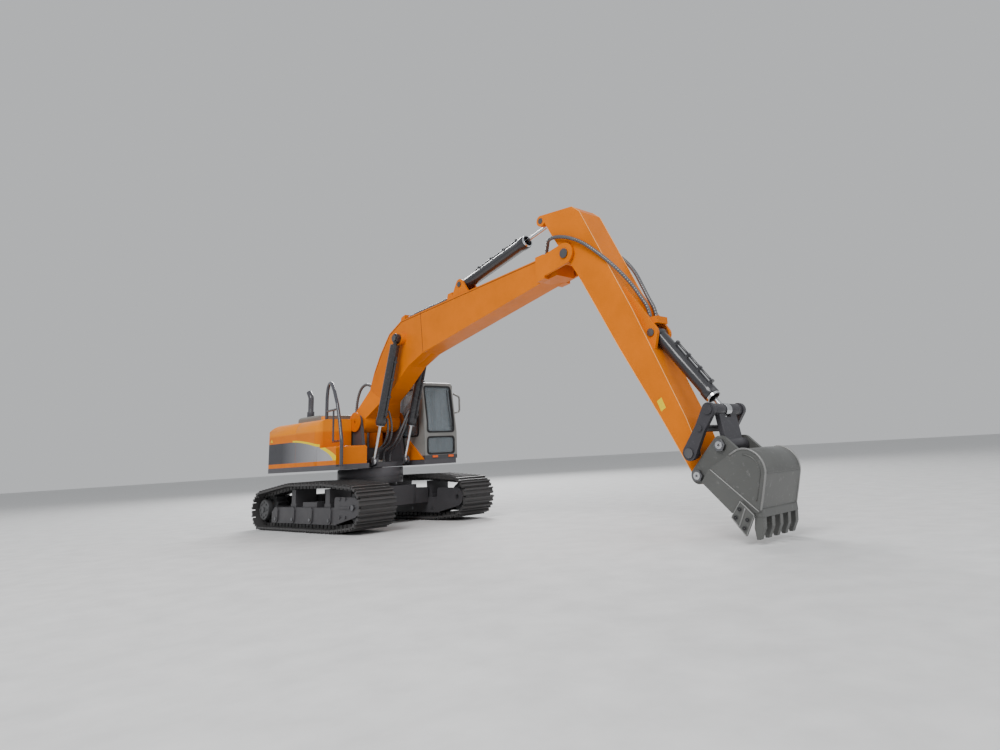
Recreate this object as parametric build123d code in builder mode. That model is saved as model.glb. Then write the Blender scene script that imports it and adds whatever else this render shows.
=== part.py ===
from build123d import *
import math
import os

# A 1:14 remote-control excavator. Millimetres: +X is the way the boom points, +Y is the
# cab side, +Z is up, and the origin is where the slew axis meets the ground.

os.makedirs("parts", exist_ok=True)

# ---------------------------------------------------------------- driving dimensions
FIT = 0.05                  # radial clearance of a turning pin in its bore
WALL = 2.0                  # wall of the moulded shells

TRACK_Y = 73.5              # middle of each track
SHOE_WIDTH = 48.0
SHOES_PER_TRACK = 64
WHEEL_PITCH = 19.5          # pitch radius round the sprocket and the idler
SPROCKET = (-108.5, 24.5)   # x, z
IDLER = (109.0, 28.5)
ROLLER_XS = (-74.0, -30.0, 14.0, 58.0)
ROLLER_Z = 14.1
POST_XS = (-36.0, 47.0)     # carrier posts under the top run
POST_TOP = 48.8
RAIL_Y = 10.5               # guide rails of a link, from the middle of the track
FRAME_IN = 17.0             # track frame's inner faces, from the middle of the track

RING_OUTER = 42.0
RING_LOW, RING_HIGH = 58.0, 69.4
HUB_RADIUS = 15.0
TOOTH_MODULE = 1.5
TOOTH_FILL = 0.8            # tooth thickness as a share of the space between teeth
RING_TEETH = 48
PINION_TEETH = 10
PINION_X = -TOOTH_MODULE * (RING_TEETH - PINION_TEETH) / 2

DECK_LOW, DECK_TOP = 70.0, 76.3
HOUSE_REAR, HOUSE_RIGHT, HOUSE_LEFT = -131.0, -81.5, 86.0
HOOD_TOP = 133.0
HOOD_FRONT = 7.8
HOOD_SEAM = -48.0           # joint between the counterweight and the side covers
BAY = 34.0                  # half width of the open bay that holds the boom's foot
TANK_FRONT, TANK_TOP = 53.5, 98.0
CAB_REAR, CAB_FRONT = -12.0, 71.0
CAB_RIGHT, CAB_LEFT = 36.0, 89.0
CAB_TOP = 178.0

FOOT = (15.0, 128.6)            # boom hinge, x and z
BOOM_CYLINDER_LOW = (43.7, 77.6)
BOOM_CYLINDER_HIGH = (94.0, 227.0)
BOOM_CYLINDER_Y = 23.5
ARM_PIVOT = (383.0, 270.0)
ARM_CYLINDER_BASE = (204.0, 276.5)
ARM_EYE = (349.5, 314.5)
BUCKET_CYLINDER_BASE = (474.0, 175.0)
ROCKER_PIVOT = (511.0, 68.0)
LINK_TOP = (532.5, 101.5)
BUCKET_PIVOT = (514.0, 50.0)
LINK_FOOT = (537.0, 73.0)

FOOT_HALF = 26.5            # half width of the boom's foot
BOOM_HALF = 13.5
ARM_HALF = 16.5
EAR_IN, EAR_OUT = 17.0, 20.0
BUCKET_HALF = 29.6
ROCKER_IN, ROCKER_OUT = 22.3, 26.6


# ---------------------------------------------------------------- helpers
def save(builder, label):
    """Labels a finished piece and writes it."""
    builder.part.label = label
    export_step(builder.part, f"parts/{label}.step")


def side_plane(y):
    """Plane at y that faces -Y, with +X and +Z as its own axes."""
    return Plane(origin=(0, y, 0), x_dir=(1, 0, 0), z_dir=(0, -1, 0))


def slab(points, y_low, y_high, mode=Mode.ADD, radius=0.0):
    """Adds a polygon drawn in X and Z, from y_low to y_high, with rounded corners."""
    with BuildSketch(side_plane(y_high)) as outline:
        Polygon(*points, align=None)
        if radius > 0:
            fillet(outline.vertices(), radius)
    extrude(outline.sketch, amount=y_high - y_low, mode=mode)


def hull(circles, y_low, y_high, mode=Mode.ADD):
    """Adds the plate that a band pulled round the circles (x, z, radius) would enclose."""
    with BuildSketch(side_plane(y_high)) as outline:
        for x, z, radius in circles:
            with Locations((x, z)):
                Circle(radius)
        make_hull(outline.edges())
    extrude(outline.sketch, amount=y_high - y_low, mode=mode)


def rod_y(centre, y_low, y_high, radius, mode=Mode.ADD):
    """Adds a round bar along Y through centre (x, z)."""
    middle = (centre[0], (y_low + y_high) / 2, centre[1])
    with Locations(Location(middle, (90, 0, 0))):
        Cylinder(radius, y_high - y_low, mode=mode)


def box(low, high, mode=Mode.ADD):
    """Adds a box between two corners."""
    middle = tuple((a + b) / 2 for a, b in zip(low, high))
    size = [b - a for a, b in zip(low, high)]
    with Locations(middle):
        Box(*size, mode=mode)


def along(start, end, distance):
    """The point at a distance from start towards end, in X and Z."""
    length = math.dist(start, end)
    return tuple(a + (b - a) * distance / length for a, b in zip(start, end))


def rod_between(start, end, near, far, y, radius, mode=Mode.ADD):
    """Adds a round bar on the line from start to end, from near to far along it."""
    foot = along(start, end, near)
    direction = (end[0] - start[0], 0, end[1] - start[1])
    plane = Plane(origin=(foot[0], y, foot[1]), z_dir=direction)
    with BuildSketch(plane) as section:
        Circle(radius)
    extrude(section.sketch, amount=far - near, mode=mode)


def sides(y_low, y_high):
    """The same band of Y on the right and on the left."""
    return ((-y_high, -y_low), (y_low, y_high))


# ---------------------------------------------------------------- the belt's loop
# Circles that the pitch line wraps, clockwise seen from the right side: x, z, radius.
BELT = (
    (SPROCKET[0], SPROCKET[1], WHEEL_PITCH),
    (POST_XS[0], 46.5, 6.0),
    (POST_XS[1], 46.5, 6.0),
    (IDLER[0], IDLER[1], WHEEL_PITCH),
    (66.0, 17.0, 12.0),
)


def belt_pieces():
    """Straight runs and arcs of the pitch line, as (length, function of distance)."""
    count = len(BELT)
    normals = []
    for i in range(count):
        x1, z1, r1 = BELT[i]
        x2, z2, r2 = BELT[(i + 1) % count]
        gap = math.hypot(x2 - x1, z2 - z1)
        normals.append(math.atan2(z2 - z1, x2 - x1) + math.acos((r1 - r2) / gap))
    pieces = []
    for i in range(count):
        x1, z1, r1 = BELT[i]
        x2, z2, r2 = BELT[(i + 1) % count]
        turn = (normals[i - 1] - normals[i]) % (2 * math.pi)
        pieces.append((r1 * turn, ("arc", x1, z1, r1, normals[i - 1])))
        normal = (math.cos(normals[i]), math.sin(normals[i]))
        start = (x1 + r1 * normal[0], z1 + r1 * normal[1])
        end = (x2 + r2 * normal[0], z2 + r2 * normal[1])
        pieces.append((math.dist(start, end), ("run", start, end, normals[i])))
    return pieces


def belt_places(side):
    """Locations of the links of one track, evenly spaced round the loop."""
    pieces = belt_pieces()
    total = sum(length for length, _ in pieces)
    places = []
    for i in range(SHOES_PER_TRACK):
        distance = i * total / SHOES_PER_TRACK
        for length, shape in pieces:
            if distance <= length:
                break
            distance -= length
        if shape[0] == "arc":
            _, x, z, radius, first = shape
            angle = first - distance / radius
            x += radius * math.cos(angle)
            z += radius * math.sin(angle)
        else:
            _, start, end, angle = shape
            x, z = along(start, end, distance)
        places.append(Location((x, side * TRACK_Y, z), (0, 90 - math.degrees(angle), 0)))
    print("belt length", round(total, 2), "pitch", round(total / SHOES_PER_TRACK, 3))
    return places


# ---------------------------------------------------------------- undercarriage
def make_chassis_frame():
    with BuildPart() as chassis_frame:
        with Locations((0, 0, 54)):
            Cylinder(RING_OUTER, 8)
        with BuildSketch(Plane.XY.offset(22)):
            RectangleRounded(100, 84, 10)
        extrude(amount=24)
        with Locations((0, 0, 47)):
            Cylinder(34, 10)
        for x in (-36, 36):
            box((x - 13, -TRACK_Y + FRAME_IN, 22), (x + 13, TRACK_Y - FRAME_IN, 41))
        box((-46, -38, 24.5), (46, 38, 44), mode=Mode.SUBTRACT)
        with Locations((0, 0, (RING_LOW + DECK_TOP + 0.3) / 2)):
            Cylinder(HUB_RADIUS, DECK_TOP + 0.3 - RING_LOW)
        with Locations((0, 0, 62)):
            Cylinder(8, 40, mode=Mode.SUBTRACT)
    save(chassis_frame, "chassis_frame")


def make_track_frame(side, name):
    low, high = (TRACK_Y - FRAME_IN, TRACK_Y + FRAME_IN)
    rail = [(-88, 9), (72, 9), (72, 28), (-80, 28), (-88, 22)]
    with BuildPart() as track_frame:
        slab(rail, low, high)
        box((-95, low + 2.5, 0), (80, high - 2.5, 22.6), mode=Mode.SUBTRACT)
        for x in POST_XS:
            box((x - 5, TRACK_Y - 14, 27), (x + 5, TRACK_Y + 14, POST_TOP))
            box((x - 7, TRACK_Y - 14, 27), (x + 7, TRACK_Y + 14, 32))
        box((-10, TRACK_Y + 2, 27), (24, TRACK_Y + 15, 34))
        for y in (low, high - 2.5):
            hull([(72, 14, 4), (72, 36, 4), (IDLER[0], IDLER[1], 11)], y, y + 2.5)
        hull([(-84, 14, 4), (-84, 24, 4), (SPROCKET[0], SPROCKET[1], 13)], low, low + 2.5)
        rod_y(SPROCKET, low - 1, low + 3, 3 + FIT, Mode.SUBTRACT)
        for x in ROLLER_XS:
            hull([(x, ROLLER_Z, 4.5), (x, 24, 4.5)], high, high + 1.5)
            rod_y((x, ROLLER_Z), low - 1, high + 3, 2.0, Mode.SUBTRACT)
        rod_y(IDLER, low - 1, high + 3, 3.0, Mode.SUBTRACT)
        for x in (80, 92):
            for z in (18, 38):
                rod_y((x, z), high, high + 1.2, 1.8)
        slab([(78, 27.2), (102, 27.2), (102, 29.8), (78, 29.8)], high, high + 1.0)
        if side < 0:
            mirror(about=Plane.XZ, mode=Mode.REPLACE)
    save(track_frame, name)


def make_track_links(side, name):
    with BuildPart() as link:
        with Locations((0, 0, 2)):
            Box(8.0, SHOE_WIDTH, 2)
        with Locations((-2.6, 0, 4)):
            Box(1.8, SHOE_WIDTH, 2)
        with Locations((2.4, 0, 3.5)):
            Box(1.4, SHOE_WIDTH, 1)
        with Locations((0, RAIL_Y, -1), (0, -RAIL_Y, -1)):
            Box(6.6, 3, 4)
    with BuildPart() as track_links:
        add([link.part.moved(place) for place in belt_places(side)])
    save(track_links, name)


def make_track_axles():
    low, high = (TRACK_Y - FRAME_IN, TRACK_Y + FRAME_IN)
    with BuildPart() as track_axles:
        for side in (-1, 1):
            for x in ROLLER_XS:
                ends = sorted((side * low, side * (high + 2.5)))
                rod_y((x, ROLLER_Z), *ends, 2.0)
            ends = sorted((side * low, side * (high + 2.0)))
            rod_y(IDLER, *ends, 3.0)
    save(track_axles, "track_axles")


def make_travel_motors():
    inner = TRACK_Y - FRAME_IN
    with BuildPart() as travel_motors:
        for side in (-1, 1):
            rod_y(SPROCKET, *sorted((side * (inner - 12), side * inner)), 15.0)
            rod_y(SPROCKET, *sorted((side * (inner - 30), side * (inner - 12))), 9.5)
            rod_y(SPROCKET, *sorted((side * inner, side * (TRACK_Y + 9))), 3.0)
    save(travel_motors, "travel_motors")


def make_sprocket(side, name):
    teeth = 14
    root, tip = 16.3, 19.8
    with BuildPart() as sprocket:
        with BuildSketch(side_plane(7.5)):
            Circle(root)
            with PolarLocations(0, teeth):
                Polygon((root - 1, -2.4), (tip, -1.0), (tip, 1.0), (root - 1, 2.4), align=None)
        extrude(amount=15)
        rod_y((0, 0), 7.5, 12, 11.0)
        rod_y((0, 0), 12, 18.5, 13.0)
        rod_y((0, 0), -13.8, -7.5, 7.0)
        fillet(sprocket.edges().group_by(Axis.Y)[-1], 1.2)
        for angle in range(0, 360, 45):
            x, z = 9 * math.cos(math.radians(angle)), 9 * math.sin(math.radians(angle))
            rod_y((x, z), 18.5, 19.5, 1.4)
        rod_y((0, 0), 18.5, 20.0, 3.4)
        rod_y((0, 0), -14, 9.5, 3.0 + FIT, Mode.SUBTRACT)
    with BuildPart() as placed:
        body = sprocket.part if side > 0 else mirror(sprocket.part, Plane.XZ, mode=Mode.PRIVATE)
        add(body.moved(Location((SPROCKET[0], side * TRACK_Y, SPROCKET[1]))))
    save(placed, name)


def make_idler(side, name):
    middle = side * TRACK_Y
    with BuildPart() as idler:
        rod_y(IDLER, middle - 13, middle + 13, 16.2)
        for low, high in sides(9, 13.5):
            rod_y(IDLER, middle + low, middle + high, 11.0, Mode.SUBTRACT)
        rod_y(IDLER, middle - 7.5, middle + 7.5, 19.4)
        rod_y(IDLER, middle - 14, middle + 14, 6.0)
        rod_y(IDLER, middle - 15, middle + 15, 3.0 + FIT, Mode.SUBTRACT)
    save(idler, name)


def make_roller(side, x, name):
    middle = side * TRACK_Y
    centre = (x, ROLLER_Z)
    with BuildPart() as roller:
        rod_y(centre, middle - 13, middle + 13, 5.9)
        rod_y(centre, middle - 7.4, middle + 7.4, 8.0)
        rod_y(centre, middle - 14, middle + 14, 2.0 + FIT, Mode.SUBTRACT)
    save(roller, name)


def gear_teeth(teeth, inward, first_angle=0.0):
    """Adds straight-flanked teeth to the sketch being built, round its centre."""
    pitch = TOOTH_MODULE * teeth / 2
    half = TOOTH_MODULE * math.pi / 4 * TOOTH_FILL
    tip, root = (pitch - 1.2, pitch + 1.9) if inward else (pitch + 1.2, pitch - 1.9)
    with PolarLocations(0, teeth, start_angle=first_angle):
        Polygon((root, -half * 1.45), (tip, -half * 0.5), (tip, half * 0.5),
                (root, half * 1.45), align=None)


def make_slew_ring():
    root = TOOTH_MODULE * RING_TEETH / 2 + 1.75
    with BuildPart() as slew_ring:
        with BuildSketch(Plane.XY.offset(RING_LOW)) as gear:
            Circle(RING_OUTER)
            Circle(root, mode=Mode.SUBTRACT)
            gear_teeth(RING_TEETH, True)
        extrude(gear.sketch, amount=RING_HIGH - RING_LOW)
        chamfer(slew_ring.faces().sort_by(Axis.Z)[-1].outer_wire().edges(), 0.8)
    save(slew_ring, "slew_ring_gear")


def make_slew_pinion():
    root = TOOTH_MODULE * PINION_TEETH / 2 - 1.75
    with BuildPart() as slew_pinion:
        with BuildSketch(Plane.XY.offset(60)) as gear:
            Circle(root)
            # Half a tooth round, so that a gap meets the ring's tooth on the axes' line.
            gear_teeth(PINION_TEETH, False, 180 / PINION_TEETH)
        extrude(gear.sketch, amount=7.5)
        with Locations((0, 0, 64)):
            Cylinder(1.5 + FIT, 12, mode=Mode.SUBTRACT)
    with BuildPart() as placed:
        add(slew_pinion.part.moved(Location((PINION_X, 0, 0))))
    save(placed, "slew_pinion")


def make_slew_retainer():
    with BuildPart() as slew_retainer:
        with Locations((0, 0, DECK_TOP + 1.4)):
            Cylinder(19, 2.2)
        with PolarLocations(11.5, 4):
            with Locations((0, 0, DECK_TOP + 3.1)):
                Cylinder(1.6, 1.2)
        with Locations((0, 0, DECK_TOP)):
            Cylinder(8, 12, mode=Mode.SUBTRACT)
    save(slew_retainer, "slew_retainer")


# ---------------------------------------------------------------- house
def hood_block(shrink):
    """The hood's rounded block, drawn in by shrink on every side but below."""
    right, left = HOUSE_RIGHT + shrink, HOUSE_LEFT - shrink
    rear, front, top = HOUSE_REAR + shrink, HOOD_FRONT - shrink, HOOD_TOP - shrink
    low = DECK_TOP - (1 if shrink else 0)
    with BuildPart() as block:
        with BuildSketch(side_plane(left)) as profile:
            Polygon((rear, low), (front, low), (front, top), (rear, top), align=None)
            fillet(profile.vertices().group_by(Axis.Y)[-1].sort_by(Axis.X)[0], 22 - shrink)
        extrude(amount=left - right)
        with BuildSketch(Plane.YZ.offset(rear)) as section:
            Polygon((right, low), (left, low), (left, top), (right, top), align=None)
            fillet(section.vertices().group_by(Axis.Y)[-1], 14 - shrink)
        extrude(amount=front - rear, mode=Mode.INTERSECT)
        with BuildSketch(Plane.XY.offset(low)) as plan:
            Polygon((rear, right), (front, right), (front, left), (rear, left), align=None)
            fillet(plan.vertices().group_by(Axis.X)[-1].sort_by(Axis.Y)[0], 8 - shrink)
            fillet(plan.vertices().group_by(Axis.X)[0], 10 - shrink)
        extrude(amount=top - low, mode=Mode.INTERSECT)
    return block.part


def hood_piece(low, high):
    """Part of the hood between two corners of a plan box, hollow and open below."""
    inner, outer = hood_block(2.4), hood_block(0)
    with BuildPart() as room:
        add(inner)
        box((low[0] - 1, low[1] - 1, 60), (high[0] - 2.2, high[1] + 1, 150), mode=Mode.INTERSECT)
    with BuildPart() as piece:
        add(outer)
        box((*low, 60), (*high, 150), mode=Mode.INTERSECT)
        add(room.part, mode=Mode.SUBTRACT)
    return piece.part


def make_hood():
    tail = hood_piece((HOUSE_REAR - 1, -100), (HOOD_SEAM - 0.15, 100))
    right = hood_piece((HOOD_SEAM + 0.15, -100), (HOOD_FRONT + 1, -BAY))
    middle = hood_piece((HOOD_SEAM + 0.15, -BAY + 0.3), (-24, BAY))
    left = hood_piece((HOOD_SEAM + 0.15, BAY), (CAB_REAR - 1.5, 100))
    whole = hood_block(-0.05)
    with BuildPart() as counterweight:
        add(tail)
    save(counterweight, "counterweight")
    with BuildPart() as side_cover:
        add(right)
        with Locations((-14, -60, HOOD_TOP + 2)):
            Cylinder(4.2, 6)
    save(side_cover, "side_cover_right")
    with BuildPart() as hood_cover:
        add(middle)
        add(left)
    save(hood_cover, "hood_cover")
    with BuildPart() as engine_cover:
        box((-108, -48, 120), (-52, 48, 143))
        fillet(engine_cover.edges().group_by(Axis.Z)[-1], 4)
        box((-52.5, -48, HOOD_TOP), (-30, 48, 140.5))
        for x in range(-96, -62, 7):
            box((x, -34, 141.8), (x + 3, 34, 144), mode=Mode.SUBTRACT)
        add(whole, mode=Mode.SUBTRACT)
    save(engine_cover, "engine_cover")


def make_house_deck():
    plan = [(HOUSE_REAR, HOUSE_RIGHT), (54, HOUSE_RIGHT), (54, -BAY - 2), (34, -BAY - 2),
            (34, BAY), (72, BAY), (72, HOUSE_LEFT), (HOUSE_REAR, HOUSE_LEFT)]
    with BuildPart() as house_deck:
        with BuildSketch(Plane.XY.offset(DECK_LOW)) as outline:
            Polygon(*plan, align=None)
            fillet(outline.vertices().group_by(Axis.X)[0], 10)
        extrude(amount=DECK_TOP - DECK_LOW)
        box((52, HOUSE_RIGHT, DECK_LOW), (64, HOUSE_RIGHT + 7, 74))
        for low, high in sides(27, 31):
            hull([(*FOOT, 9), (-8, 79, 5.7), (28, 79, 5.7)], low, high)
        box((-14, -31, DECK_TOP + 3), (-10, 31, 96))
        for near, far in ((19.5, 21.4), (25.6, 27.5)):
            for low, high in sides(near, far):
                hull([(*BOOM_CYLINDER_LOW, 5.5), (32, 73.5, 3.5)], low, high)
        for x in (-38, 2):
            for y in (-72, -42):
                with Locations((x, y, 80)):
                    Cylinder(2.4, 8)
        rod_y(FOOT, -40, 40, 3.5, Mode.SUBTRACT)
        rod_y(BOOM_CYLINDER_LOW, -30, 30, 2.0, Mode.SUBTRACT)
        with Locations((0, 0, DECK_LOW)):
            Cylinder(HUB_RADIUS + FIT, 20, mode=Mode.SUBTRACT)
        with Locations((PINION_X, 0, DECK_LOW)):
            Cylinder(2.2, 20, mode=Mode.SUBTRACT)
        box((-104, 46, 60), (-90, 54, 73.2), mode=Mode.SUBTRACT)
    save(house_deck, "house_deck")


def make_power_switch():
    with BuildPart() as power_switch:
        box((-103.6, 46.3, 68.4), (-98, 53.7, 72.9))
        for x in (-102.4, -100.8, -99.2):
            box((x - 0.3, 46, 68), (x + 0.3, 54, 68.8), mode=Mode.SUBTRACT)
    save(power_switch, "power_switch")


def make_tank_box():
    low, high = (HOOD_FRONT + 0.2, HOUSE_RIGHT + 0.1, DECK_TOP), (TANK_FRONT, -39.3, TANK_TOP)
    with BuildPart() as tank_box:
        box(low, high)
        fillet(tank_box.edges().group_by(Axis.Z)[-1].sort_by(Axis.X)[1:], 2.5)
        inner_low = (low[0] + WALL, low[1] + WALL, 70)
        inner_high = (high[0] - WALL, high[1] - WALL, high[2] - WALL)
        box(inner_low, inner_high, mode=Mode.SUBTRACT)
    save(tank_box, "tank_box")


def make_exhaust():
    foot = Vector(-102, -33, 143)
    with BuildPart() as exhaust_pipe:
        with BuildLine() as centre:
            FilletPolyline(foot, foot + (0, 0, 28), foot + (-6, 0, 36), radius=7)
        with BuildSketch(Plane(foot)):
            Circle(3.8)
        sweep(path=centre.line)
        with BuildSketch(Plane(foot)) as collar:
            Circle(5.0)
        extrude(collar.sketch, amount=8)
        with BuildSketch(Plane(origin=centre.line @ 1, z_dir=-(centre.line % 1))) as mouth:
            Circle(2.8)
        extrude(mouth.sketch, amount=5, mode=Mode.SUBTRACT)
    save(exhaust_pipe, "exhaust_pipe")


def make_handrail():
    rear, front = Vector(2, -66, 0), Vector(60, -78, 0)
    plane = Plane(origin=rear, x_dir=front - rear, z_dir=(front - rear).cross(Vector(0, 0, 1)))
    span = (front - rear).length
    hoop = [(0, HOOD_TOP), (0, 160), (2.5, 171), (9, 178.5), (18, 177), (29, 166), (41, 149),
            (51, 128), (span, 104), (span, 74)]
    bars = (((0, 143, 0), (43, 143, 0), 1.4), ((27, 142, 0), (27, 105, 0), 1.2),
            ((27, 104, 0), (span, 104, 0), 1.4))
    with BuildPart() as handrail:
        with BuildLine(plane) as centre:
            FilletPolyline(*hoop, radius=(10, 9, 9, 9, 16, 18, 18, 14))
        with BuildSketch(Plane(plane.from_local_coords((0, HOOD_TOP, 0)))):
            Circle(2.1)
        sweep(path=centre.line)
        for start, end, radius in bars:
            start, end = plane.from_local_coords(start), plane.from_local_coords(end)
            with BuildSketch(Plane(origin=start, z_dir=end - start)) as section:
                Circle(radius)
            extrude(section.sketch, amount=(end - start).length)
    save(handrail, "handrail")


# Window openings of the cab, as boxes that run through its walls.
CAB_WINDOWS = (
    ((50, 41, 112), (80, 83, 171)),      # windscreen
    ((66, 41, 84), (80, 83, 104)),       # lower front
    ((12, 30, 108), (56, 40, 168)),      # right side
    ((24, 84, 104), (60, 95, 170)),      # door
    ((-5, 84, 116), (16, 95, 168)),      # left rear
    ((-16, 46, 124), (-8, 79, 168)),     # rear
)


def cab_block(shrink):
    """The cab's outer block, drawn in by shrink on every side but below."""
    rear, front, top = CAB_REAR + shrink, CAB_FRONT - shrink, CAB_TOP - shrink
    outline = [(rear, DECK_TOP), (front, DECK_TOP), (front, 124), (front - 8, top), (rear, top)]
    with BuildPart() as block:
        slab(outline, CAB_RIGHT + shrink, CAB_LEFT - shrink)
        fillet(block.edges().filter_by(Axis.Y).group_by(Axis.Z)[-1], 6 - shrink)
        fillet(block.edges().filter_by(Axis.X).group_by(Axis.Z)[-1], 3 - shrink / 2)
    return block.part


def make_cab():
    outer, room = cab_block(0), cab_block(WALL)
    glass_outer, glass_inner = cab_block(0.6), cab_block(1.6)
    with BuildPart() as cab_shell:
        add(outer)
        add(room, mode=Mode.SUBTRACT)
        for low, high in CAB_WINDOWS:
            box(low, high, mode=Mode.SUBTRACT)
        with BuildLine(Plane.YZ.offset(CAB_FRONT - 4)) as loop:
            FilletPolyline((CAB_LEFT - 1, 136), (CAB_LEFT + 9, 138), (CAB_LEFT + 9, 158),
                           (CAB_LEFT - 1, 162), radius=4)
        with BuildSketch(Plane(origin=loop.line @ 0, z_dir=loop.line % 0)):
            Circle(1.3)
        sweep(path=loop.line)
    save(cab_shell, "cab_shell")
    with BuildPart() as openings:
        for low, high in CAB_WINDOWS:
            box([a + 0.1 for a in low], [b - 0.1 for b in high])
    with BuildPart() as cab_glass:
        add(glass_outer)
        add(glass_inner, mode=Mode.SUBTRACT)
        add(openings.part, mode=Mode.INTERSECT)
    save(cab_glass, "cab_glass")
    with BuildPart() as cab_seat:
        box((10, 54, DECK_TOP), (34, 74, 88))
        box((8, 51, 88), (38, 77, 96))
        slab([(4, 92), (12, 92), (8, 138), (0, 138)], 52, 76)
        for y in (43, 79):
            box((6, y, DECK_TOP), (40, y + 6, 103))
            with Locations((36, y + 3, 106)):
                Cylinder(1.4, 14)
    save(cab_seat, "cab_seat")


def make_electrics():
    with BuildPart() as battery_pack:
        box((-112, -32, DECK_TOP), (-60, 32, 103))
        fillet(battery_pack.edges().filter_by(Axis.X), 5)
    save(battery_pack, "battery_pack")
    with BuildPart() as circuit_board:
        box((-42, -75, 84), (4, -38, 85.6))
        box((-30, -66, 85.6), (-14, -50, 88))
        box((-8, -72, 85.6), (2, -44, 92))
        box((-40, -50, 85.6), (-34, -42, 95))
    save(circuit_board, "circuit_board")
    with BuildPart() as slew_motor:
        box((-47, -11, DECK_TOP), (-26.4, 11, 90))
        with Locations((-35.5, 0, 101)):
            Cylinder(9, 22)
        with Locations((PINION_X, 0, 68.6)):
            Cylinder(1.5, 16)
    save(slew_motor, "slew_motor")


def make_house_pins():
    with BuildPart() as house_pins:
        rod_y(FOOT, -31, 31, 3.5)
        for low, high in sides(31, 32.4):
            rod_y(FOOT, low, high, 5.2)
        for low, high in sides(19.5, 27.5):
            rod_y(BOOM_CYLINDER_LOW, low, high, 2.0)
        for low, high in sides(27.5, 28.7):
            rod_y(BOOM_CYLINDER_LOW, low, high, 3.2)
    save(house_pins, "house_pins")


# ---------------------------------------------------------------- boom
def save_halves(whole, label):
    """Splits a moulding along its middle and writes its left and right shells."""
    for keep, word in ((Keep.TOP, "left"), (Keep.BOTTOM, "right")):
        with BuildPart() as half:
            add(whole)
            split(bisect_by=Plane(origin=(0, 0, 0), x_dir=(1, 0, 0), z_dir=(0, 1, 0)), keep=keep)
        save(half, f"{label}_{word}")


BOOM_OUTLINE = [(1.5, 132), (28, 191), (42, 213), (63, 238), (90, 251.5), (343, 275), (366, 277),
                (366, 252), (343, 248.5), (229, 224), (135, 203.5), (104, 190.5), (71, 166),
                (45, 150), (28.5, 132)]
BOOM_LOWER_SLOPE = math.degrees(math.atan2(0.89, 0.45))


def boom_block(shrink):
    """The boom's closed shape, drawn in by shrink all round."""
    lean = math.radians(BOOM_LOWER_SLOPE)
    across = (math.sin(lean), 0, -math.cos(lean))
    front_view = Plane(origin=(FOOT[0], 0, FOOT[1]), x_dir=(0, 1, 0), z_dir=across)
    foot_half, half = FOOT_HALF - shrink, BOOM_HALF - shrink
    widths = [(-foot_half, -20), (foot_half, -20), (foot_half, 8), (half, 38), (half, 420),
              (-half, 420), (-half, 38), (-foot_half, 8)]
    with BuildPart() as block:
        with BuildSketch(side_plane(40)) as outline:
            Polygon(*BOOM_OUTLINE, align=None)
            with Locations(FOOT):
                Circle(14)
            if shrink > 0:
                offset(amount=-shrink, kind=Kind.INTERSECTION, mode=Mode.REPLACE)
        extrude(amount=80)
        with BuildSketch(front_view) as width:
            Polygon(*widths, align=None)
        extrude(width.sketch, amount=420, both=True, mode=Mode.INTERSECT)
    return block.part


def make_boom_shells():
    outer, inner = boom_block(0), boom_block(WALL)
    with BuildPart() as hollow:
        add(inner)
        for centre, radius in ((FOOT, 7), (BOOM_CYLINDER_HIGH, 7.5)):
            rod_y(centre, -40, 40, radius, Mode.SUBTRACT)
    with BuildPart() as boom:
        add(outer)
        add(hollow.part, mode=Mode.SUBTRACT)
        slab([(80, 244), (92, 249), (92, 259.5), (84, 257)], -9, 9)
        slab([(178, 258), (189, 259), (189, 270), (181, 269)], -9, 9)
        for near, far in sides(7.2, 9.7):
            hull([(*ARM_CYLINDER_BASE, 6.5), (190, 257, 4), (219, 259, 4)], near, far)
        for near, far in sides(EAR_IN, EAR_OUT):
            hull([(*ARM_PIVOT, 11), (350, 271, 3), (350, 255, 3)], near, far)
        for near, far in sides(BOOM_HALF - WALL, EAR_OUT):
            slab([(342, 248.3), (354, 250), (354, 276), (342, 275)], near, far)
        for near, far in sides(BOOM_HALF - 1, BOOM_CYLINDER_Y - 3.2):
            rod_y(BOOM_CYLINDER_HIGH, near, far, 7)
        rod_y(FOOT, -40, 40, 3.5 + FIT, Mode.SUBTRACT)
        rod_y(BOOM_CYLINDER_HIGH, -40, 40, 2.5, Mode.SUBTRACT)
        rod_y(ARM_CYLINDER_BASE, -40, 40, 2.0, Mode.SUBTRACT)
        rod_y(ARM_PIVOT, -40, 40, 3.0, Mode.SUBTRACT)
    save_halves(boom.part, "boom_shell")


def make_boom_pins():
    outer = BOOM_CYLINDER_Y + 3.2
    with BuildPart() as boom_pins:
        rod_y(BOOM_CYLINDER_HIGH, -outer, outer, 2.5)
        rod_y(ARM_CYLINDER_BASE, -9.7, 9.7, 2.0)
        rod_y(ARM_PIVOT, -EAR_OUT, EAR_OUT, 3.0)
        for low, high in sides(outer, outer + 1.3):
            rod_y(BOOM_CYLINDER_HIGH, low, high, 4.2)
        for low, high in sides(9.7, 10.7):
            rod_y(ARM_CYLINDER_BASE, low, high, 3.2)
        for low, high in sides(EAR_OUT, EAR_OUT + 1.4):
            rod_y(ARM_PIVOT, low, high, 5.0)
    save(boom_pins, "boom_pins")


# ---------------------------------------------------------------- arm
ARM_OUTLINE = [(348, 320.4), (394, 318), (404, 310), (459, 199), (505, 97), (520.5, 53),
               (514, 43.2), (507, 49), (481, 97), (440.6, 165.6), (397, 244), (367, 290),
               (355, 311)]


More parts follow.
